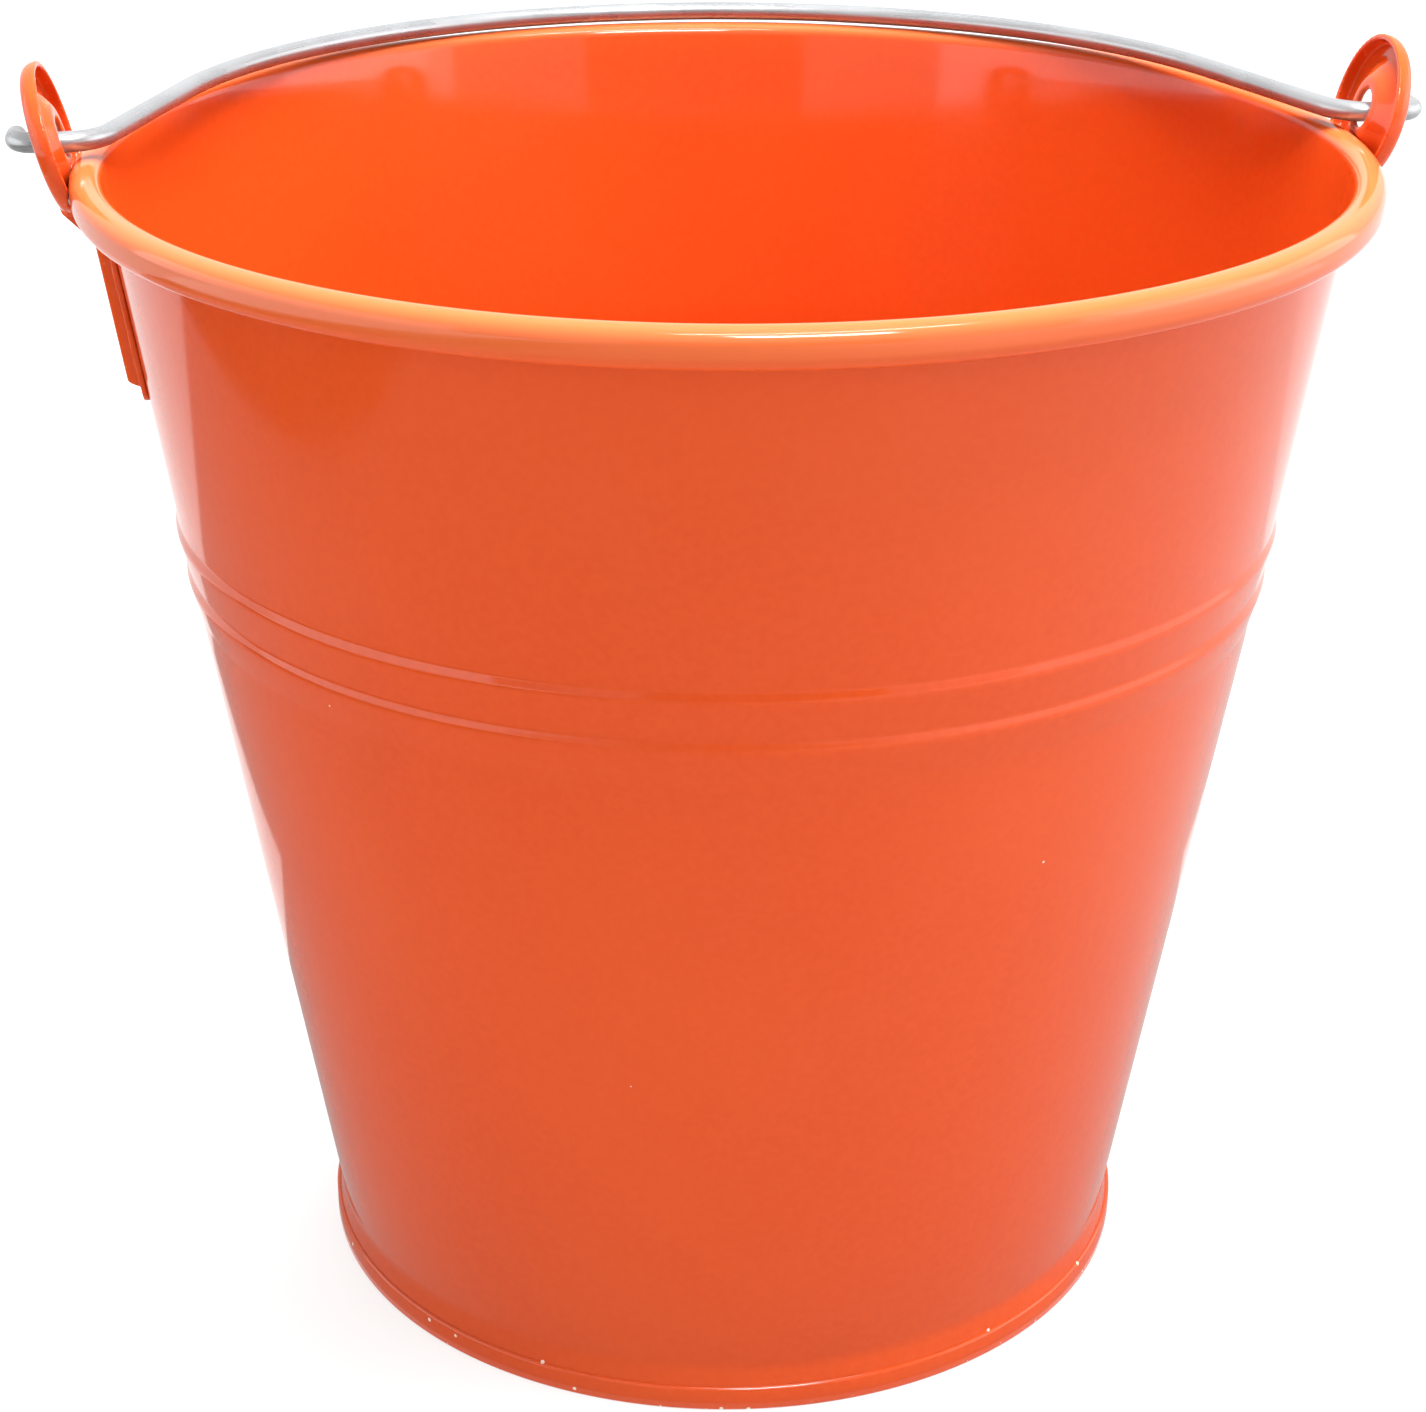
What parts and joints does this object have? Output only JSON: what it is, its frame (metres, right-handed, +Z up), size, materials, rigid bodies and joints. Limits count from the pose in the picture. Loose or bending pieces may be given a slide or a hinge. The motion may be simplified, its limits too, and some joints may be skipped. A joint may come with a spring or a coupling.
{
  "type": "steel pail",
  "caption": "Small tapered sheet-steel pail with a rolled rim, ribbed wall, folded foot ring, pressed ears and a swinging wire bail.",
  "frame": {"origin": "centre of the ring that the pail stands on, on the floor plane", "axes": "+Z up along the pail's axis; the two ears stand on -X and +X, so +X runs along the bail's hinge line; the bail at rest lies folded back over the +Y side of the rim"},
  "size_m": [0.243, 0.22, 0.2213],
  "materials": {
    "orange_enamel": "high gloss stoved enamel over sheet steel",
    "galvanised_wire": "satin zinc-coated drawn wire"
  },
  "bodies": {
    "pail": {"body_shell": "orange_enamel", "bottom_pan": "orange_enamel", "left_ear": "orange_enamel", "right_ear": "orange_enamel"},
    "bail": {"bail": "galvanised_wire"}
  },
  "joints": [
    {"name": "bail_hinge", "type": "hinge", "parent": "pail", "child": "bail", "pos_m": [0, 0, 0.208], "axis": [1, 0, 0], "range_deg": [0, 181]}
  ]
}
